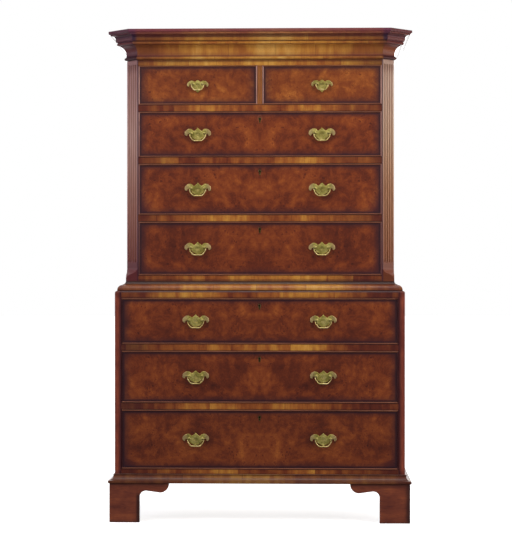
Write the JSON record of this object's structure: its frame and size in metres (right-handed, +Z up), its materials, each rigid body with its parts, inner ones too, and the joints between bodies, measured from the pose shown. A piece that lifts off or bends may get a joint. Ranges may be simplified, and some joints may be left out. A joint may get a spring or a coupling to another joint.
{
  "type": "chest on chest",
  "caption": "Tall chest of drawers: upper case with canted fluted corners and cornice on a wider lower case with bracket feet; sliding drawers with swinging bail handles.",
  "frame": {"origin": "on the floor, under the middle of the whole object's bounding box", "axes": "+Z up, +X to the right seen from the front, -Y out of the drawer fronts"},
  "size_m": [1.118, 0.54, 1.8],
  "materials": {
    "walnut": "polished, figured walnut veneer",
    "walnut_burr": "polished, burr walnut veneer, matched about the middle",
    "walnut_crossband": "polished, crossgrain walnut",
    "oak": "waxed oak drawer linings",
    "pine": "dry, unpolished pine",
    "brass": "aged cast brass"
  },
  "bodies": {
    "carcase": {"base_moulding": "walnut_crossband", "corner_pilaster_left": "walnut", "corner_pilaster_right": "walnut", "cornice_moulding": "walnut_crossband", "frieze_rail": "walnut_crossband", "front_bracket_feet": "walnut", "lower_back_panel": "pine", "lower_bottom_board": "pine", "lower_divider_frames": "walnut_crossband", "lower_side_left": "walnut", "lower_side_right": "walnut", "lower_top_board": "pine", "rear_bracket_feet": "walnut", "short_drawer_divider": "walnut_crossband", "upper_back_panel": "pine", "upper_bottom_board": "pine", "upper_divider_frames": "walnut_crossband", "upper_side_left": "walnut", "upper_side_right": "walnut", "upper_top_board": "walnut", "waist_moulding": "walnut_crossband"},
    "short_drawer_left": {"short_drawer_left_box": "oak", "short_drawer_left_brasses": "brass", "short_drawer_left_front": "walnut_burr"},
    "short_drawer_left_bail": {"short_drawer_left_bail": "brass"},
    "short_drawer_right": {"short_drawer_right_box": "oak", "short_drawer_right_brasses": "brass", "short_drawer_right_front": "walnut_burr"},
    "short_drawer_right_bail": {"short_drawer_right_bail": "brass"},
    "upper_drawer_top": {"upper_drawer_top_box": "oak", "upper_drawer_top_brasses": "brass", "upper_drawer_top_front": "walnut_burr"},
    "upper_drawer_top_bail_left": {"upper_drawer_top_bail_left": "brass"},
    "upper_drawer_top_bail_right": {"upper_drawer_top_bail_right": "brass"},
    "upper_drawer_middle": {"upper_drawer_middle_box": "oak", "upper_drawer_middle_brasses": "brass", "upper_drawer_middle_front": "walnut_burr"},
    "upper_drawer_middle_bail_left": {"upper_drawer_middle_bail_left": "brass"},
    "upper_drawer_middle_bail_right": {"upper_drawer_middle_bail_right": "brass"},
    "upper_drawer_bottom": {"upper_drawer_bottom_box": "oak", "upper_drawer_bottom_brasses": "brass", "upper_drawer_bottom_front": "walnut_burr"},
    "upper_drawer_bottom_bail_left": {"upper_drawer_bottom_bail_left": "brass"},
    "upper_drawer_bottom_bail_right": {"upper_drawer_bottom_bail_right": "brass"},
    "lower_drawer_top": {"lower_drawer_top_box": "oak", "lower_drawer_top_brasses": "brass", "lower_drawer_top_front": "walnut_burr"},
    "lower_drawer_top_bail_left": {"lower_drawer_top_bail_left": "brass"},
    "lower_drawer_top_bail_right": {"lower_drawer_top_bail_right": "brass"},
    "lower_drawer_middle": {"lower_drawer_middle_box": "oak", "lower_drawer_middle_brasses": "brass", "lower_drawer_middle_front": "walnut_burr"},
    "lower_drawer_middle_bail_left": {"lower_drawer_middle_bail_left": "brass"},
    "lower_drawer_middle_bail_right": {"lower_drawer_middle_bail_right": "brass"},
    "lower_drawer_bottom": {"lower_drawer_bottom_box": "oak", "lower_drawer_bottom_brasses": "brass", "lower_drawer_bottom_front": "walnut_burr"},
    "lower_drawer_bottom_bail_left": {"lower_drawer_bottom_bail_left": "brass"},
    "lower_drawer_bottom_bail_right": {"lower_drawer_bottom_bail_right": "brass"}
  },
  "joints": [
    {"name": "short_drawer_left_slide", "type": "slide", "parent": "carcase", "child": "short_drawer_left", "axis": [0, -1, 0], "range_m": [0, 0.33]},
    {"name": "short_drawer_left_bail_swing", "type": "hinge", "parent": "short_drawer_left", "child": "short_drawer_left_bail", "pos_m": [-0.22817, -0.216, 1.604], "axis": [-1, 0, 0], "range_deg": [-15, 175]},
    {"name": "short_drawer_right_slide", "type": "slide", "parent": "carcase", "child": "short_drawer_right", "axis": [0, -1, 0], "range_m": [0, 0.33]},
    {"name": "short_drawer_right_bail_swing", "type": "hinge", "parent": "short_drawer_right", "child": "short_drawer_right_bail", "pos_m": [0.22817, -0.216, 1.604], "axis": [-1, 0, 0], "range_deg": [-15, 175]},
    {"name": "upper_drawer_top_slide", "type": "slide", "parent": "carcase", "child": "upper_drawer_top", "axis": [0, -1, 0], "range_m": [0, 0.33]},
    {"name": "upper_drawer_top_bail_left_swing", "type": "hinge", "parent": "upper_drawer_top", "child": "upper_drawer_top_bail_left", "pos_m": [-0.228, -0.216, 1.42325], "axis": [-1, 0, 0], "range_deg": [-15, 175]},
    {"name": "upper_drawer_top_bail_right_swing", "type": "hinge", "parent": "upper_drawer_top", "child": "upper_drawer_top_bail_right", "pos_m": [0.228, -0.216, 1.42325], "axis": [-1, 0, 0], "range_deg": [-15, 175]},
    {"name": "upper_drawer_middle_slide", "type": "slide", "parent": "carcase", "child": "upper_drawer_middle", "axis": [0, -1, 0], "range_m": [0, 0.33]},
    {"name": "upper_drawer_middle_bail_left_swing", "type": "hinge", "parent": "upper_drawer_middle", "child": "upper_drawer_middle_bail_left", "pos_m": [-0.228, -0.216, 1.221], "axis": [-1, 0, 0], "range_deg": [-15, 175]},
    {"name": "upper_drawer_middle_bail_right_swing", "type": "hinge", "parent": "upper_drawer_middle", "child": "upper_drawer_middle_bail_right", "pos_m": [0.228, -0.216, 1.221], "axis": [-1, 0, 0], "range_deg": [-15, 175]},
    {"name": "upper_drawer_bottom_slide", "type": "slide", "parent": "carcase", "child": "upper_drawer_bottom", "axis": [0, -1, 0], "range_m": [0, 0.33]},
    {"name": "upper_drawer_bottom_bail_left_swing", "type": "hinge", "parent": "upper_drawer_bottom", "child": "upper_drawer_bottom_bail_left", "pos_m": [-0.228, -0.216, 1.00375], "axis": [-1, 0, 0], "range_deg": [-15, 175]},
    {"name": "upper_drawer_bottom_bail_right_swing", "type": "hinge", "parent": "upper_drawer_bottom", "child": "upper_drawer_bottom_bail_right", "pos_m": [0.228, -0.216, 1.00375], "axis": [-1, 0, 0], "range_deg": [-15, 175]},
    {"name": "lower_drawer_top_slide", "type": "slide", "parent": "carcase", "child": "lower_drawer_top", "axis": [0, -1, 0], "range_m": [0, 0.36]},
    {"name": "lower_drawer_top_bail_left_swing", "type": "hinge", "parent": "lower_drawer_top", "child": "lower_drawer_top_bail_left", "pos_m": [-0.233, -0.253, 0.73775], "axis": [-1, 0, 0], "range_deg": [-15, 175]},
    {"name": "lower_drawer_top_bail_right_swing", "type": "hinge", "parent": "lower_drawer_top", "child": "lower_drawer_top_bail_right", "pos_m": [0.233, -0.253, 0.73775], "axis": [-1, 0, 0], "range_deg": [-15, 175]},
    {"name": "lower_drawer_middle_slide", "type": "slide", "parent": "carcase", "child": "lower_drawer_middle", "axis": [0, -1, 0], "range_m": [0, 0.36]},
    {"name": "lower_drawer_middle_bail_left_swing", "type": "hinge", "parent": "lower_drawer_middle", "child": "lower_drawer_middle_bail_left", "pos_m": [-0.233, -0.253, 0.534], "axis": [-1, 0, 0], "range_deg": [-15, 175]},
    {"name": "lower_drawer_middle_bail_right_swing", "type": "hinge", "parent": "lower_drawer_middle", "child": "lower_drawer_middle_bail_right", "pos_m": [0.233, -0.253, 0.534], "axis": [-1, 0, 0], "range_deg": [-15, 175]},
    {"name": "lower_drawer_bottom_slide", "type": "slide", "parent": "carcase", "child": "lower_drawer_bottom", "axis": [0, -1, 0], "range_m": [0, 0.36]},
    {"name": "lower_drawer_bottom_bail_left_swing", "type": "hinge", "parent": "lower_drawer_bottom", "child": "lower_drawer_bottom_bail_left", "pos_m": [-0.233, -0.253, 0.3055], "axis": [-1, 0, 0], "range_deg": [-15, 175]},
    {"name": "lower_drawer_bottom_bail_right_swing", "type": "hinge", "parent": "lower_drawer_bottom", "child": "lower_drawer_bottom_bail_right", "pos_m": [0.233, -0.253, 0.3055], "axis": [-1, 0, 0], "range_deg": [-15, 175]}
  ]
}
